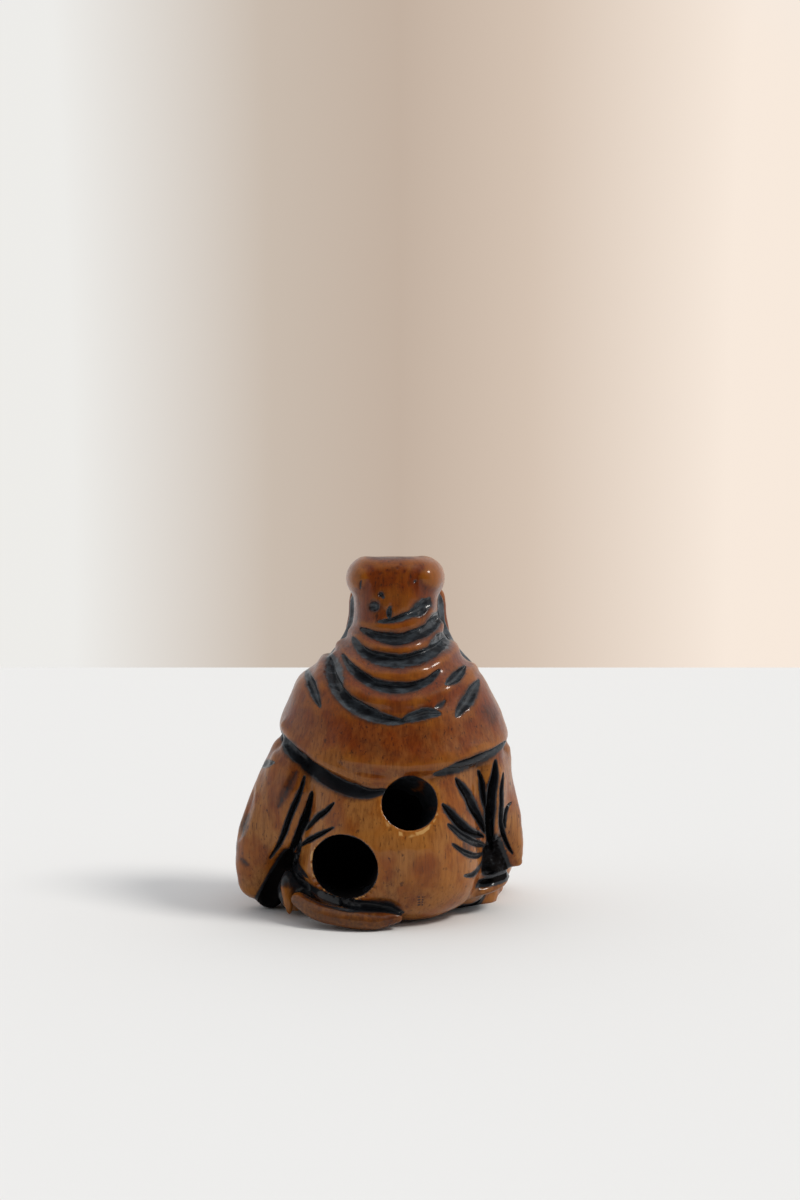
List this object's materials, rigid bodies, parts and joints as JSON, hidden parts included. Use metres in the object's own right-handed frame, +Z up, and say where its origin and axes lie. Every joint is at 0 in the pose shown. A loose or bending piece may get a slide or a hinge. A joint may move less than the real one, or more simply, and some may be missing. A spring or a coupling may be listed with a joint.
{
  "type": "netsuke",
  "caption": "Boxwood netsuke of a seated elder in a cornered hood and shoulder cape, with two cord holes in its back.",
  "frame": {"origin": "underside, at the middle of the outline", "axes": "+Z up, the figure faces -Y, the cord holes open at +Y"},
  "size_m": [0.0293, 0.0254, 0.036],
  "materials": {
    "boxwood": "polished by handling"
  },
  "bodies": {
    "root": {"seated_figure": "boxwood"}
  },
  "joints": []
}
